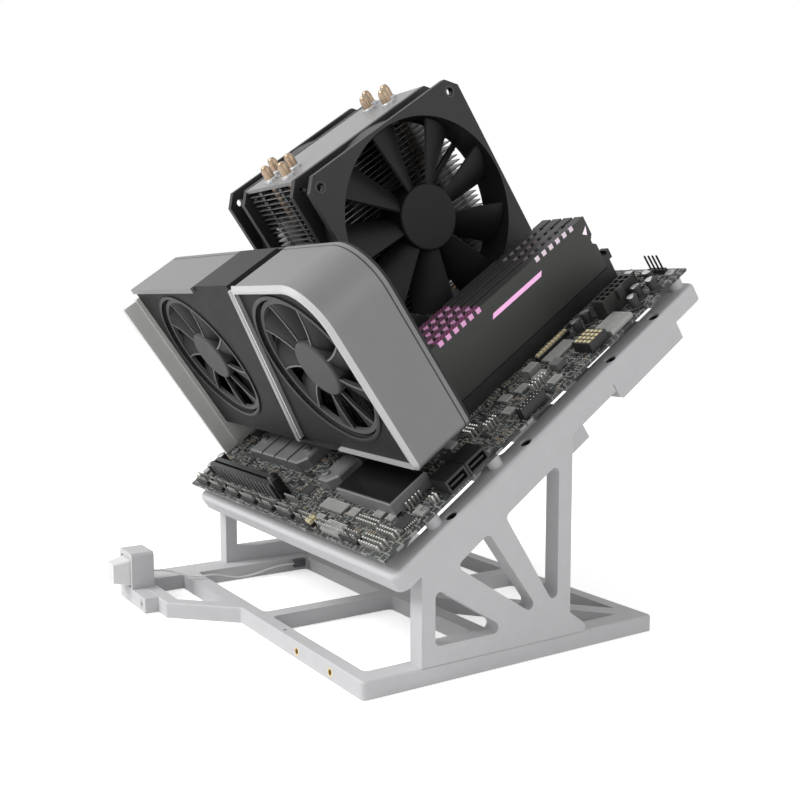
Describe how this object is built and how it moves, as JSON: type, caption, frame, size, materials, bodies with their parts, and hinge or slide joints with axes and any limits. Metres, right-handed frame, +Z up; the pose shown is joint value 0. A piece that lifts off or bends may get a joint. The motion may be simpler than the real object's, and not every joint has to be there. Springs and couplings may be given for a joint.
{
  "type": "open air test bench",
  "caption": "Open-air computer test bench: white lattice stand with a sloping tray carrying a board, tower cooler, memory, a graphics card and a power key on an arm.",
  "frame": {"origin": "centre of the base frame's rectangle, on the floor plane", "axes": "+X to the right seen from the front, +Y to the back, where the tray is highest, +Z up"},
  "size_m": [0.2517, 0.275, 0.3187],
  "materials": {
    "white_print": "fine matt",
    "key_white": "matt",
    "switch_dark": "matt",
    "lead_white": "soft matt",
    "black_nylon": "matt",
    "ivory_nylon": "matt",
    "brass": "satin",
    "dark_steel": "black oxide",
    "bright_steel": "satin",
    "board_black": "solder mask",
    "plated_copper": "plated",
    "bare_aluminium": "satin",
    "copper": "polished",
    "dark_fin": "blackened",
    "grey_plate": "satin",
    "fan_black": "fine matt",
    "charcoal_metal": "satin",
    "pink_light": "diffuse, lit",
    "slot_grey": "satin",
    "chip_black": "moulded",
    "card_silver": "bead blasted",
    "card_dark": "matt",
    "rotor_grey": "satin"
  },
  "bodies": {
    "bench": {"base_frame": "white_print", "right_truss": "white_print", "left_truss": "white_print", "tray": "white_print", "cross_plate": "white_print", "hanging_bar": "white_print", "support_post": "white_print", "key_holder": "white_print", "key_switch": "switch_dark", "power_lead": "lead_white", "lead_plug": "black_nylon", "brass_inserts": "brass", "standoffs": "white_print", "truss_screws": "dark_steel", "tray_screws": "dark_steel", "board_screws": "bright_steel", "bracket_screws": "bright_steel", "holder_screw": "bright_steel", "card_bracket": "bright_steel", "main_board": "board_black", "processor_socket": "black_nylon", "processor": "plated_copper", "cold_plate": "bare_aluminium", "cooler_mount": "dark_steel", "cooler_back_plate": "dark_steel", "heat_pipes": "copper", "cooler_fins": "dark_fin", "cooler_cap": "grey_plate", "front_fan_frame": "fan_black", "rear_fan_frame": "fan_black", "memory_sockets": "black_nylon", "memory_latches": "black_nylon", "memory_boards": "board_black", "heat_spreaders": "charcoal_metal", "light_bars": "pink_light", "card_sockets": "slot_grey", "power_socket": "ivory_nylon", "chipset_sink": "charcoal_metal", "storage_cover": "grey_plate", "voltage_sinks": "charcoal_metal", "rear_ports": "bright_steel", "drive_ports": "black_nylon", "pin_headers": "black_nylon", "board_chips": "chip_black", "capacitors": "bare_aluminium", "coin_cell": "bright_steel", "card_sleeve": "card_silver", "card_lid": "card_silver", "card_shroud": "card_dark", "card_back_plate": "card_dark", "card_fins": "dark_fin", "card_board": "board_black", "card_motors": "fan_black"},
    "front_fan": {"front_fan_rotor": "fan_black"},
    "rear_fan": {"rear_fan_rotor": "fan_black"},
    "card_right_fan": {"card_right_rotor": "rotor_grey"},
    "card_left_fan": {"card_left_rotor": "rotor_grey"},
    "power_key": {"key_cap": "key_white", "key_stem": "switch_dark"}
  },
  "joints": [
    {"name": "front_fan_spin", "type": "hinge", "parent": "bench", "child": "front_fan", "pos_m": [0.008, 0.01351, 0.23433], "axis": [1, 0, 0], "continuous": true},
    {"name": "rear_fan_spin", "type": "hinge", "parent": "bench", "child": "rear_fan", "pos_m": [-0.078, 0.01351, 0.23433], "axis": [1, 0, 0], "continuous": true},
    {"name": "card_right_fan_spin", "type": "hinge", "parent": "bench", "child": "card_right_fan", "pos_m": [0.0675, -0.08467, 0.15399], "axis": [0, -0.8192, -0.5736], "continuous": true},
    {"name": "card_left_fan_spin", "type": "hinge", "parent": "bench", "child": "card_left_fan", "pos_m": [-0.07, -0.08467, 0.15399], "axis": [0, -0.8192, -0.5736], "continuous": true},
    {"name": "power_key_press", "type": "slide", "parent": "bench", "child": "power_key", "axis": [0, 1, 0], "range_m": [0, 0.003], "stiffness_N_per_m": 150, "springref_m": -0.002}
  ]
}
